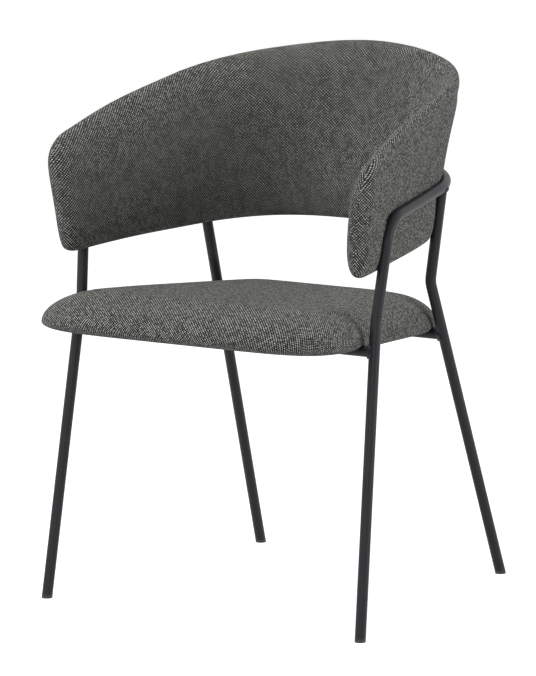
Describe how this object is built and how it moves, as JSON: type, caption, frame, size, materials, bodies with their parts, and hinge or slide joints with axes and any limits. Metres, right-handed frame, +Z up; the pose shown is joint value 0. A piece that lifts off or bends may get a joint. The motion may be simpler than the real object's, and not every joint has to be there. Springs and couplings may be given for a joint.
{
  "type": "dining chair",
  "caption": "Tub-backed dining armchair: padded C-shaped back and padded seat on a welded tube frame whose arm tube runs round the back.",
  "frame": {"origin": "on the floor, under the middle of the chair's overall box", "axes": "+Z up; -Y is the way the sitter faces; +X is to the right as seen from in front of the chair"},
  "size_m": [0.5546, 0.6056, 0.7966],
  "materials": {
    "frame": "satin dark grey powder coat on steel tube",
    "glide": "matt black nylon",
    "plywood": "plain birch plywood, hidden inside the upholstery",
    "foam": "open-cell polyurethane foam, hidden inside the cover",
    "upholstery": "tight hopsack weave of dark and light grey threads",
    "dust_cover": "thin black non-woven cloth",
    "zinc": "zinc plated steel",
    "screw": "black oxide steel"
  },
  "bodies": {
    "root": {"arm_loop_tube": "frame", "rear_leg_left": "frame", "rear_leg_right": "frame", "front_cross_tube": "frame", "rear_cross_tube": "frame", "frame_welds": "frame", "seat_mounting_tabs": "frame", "front_foot_glide_left": "glide", "front_foot_glide_right": "glide", "rear_foot_glide_left": "glide", "rear_foot_glide_right": "glide", "seat_board": "plywood", "seat_foam": "foam", "seat_cover": "upholstery", "seat_dust_cover": "dust_cover", "seat_tee_nuts": "zinc", "seat_screws": "screw", "seat_washers": "screw", "back_board": "plywood", "back_foam": "foam", "back_cover": "upholstery", "back_tee_nuts": "zinc", "back_screws": "screw", "back_saddle_washers": "screw"}
  },
  "joints": []
}
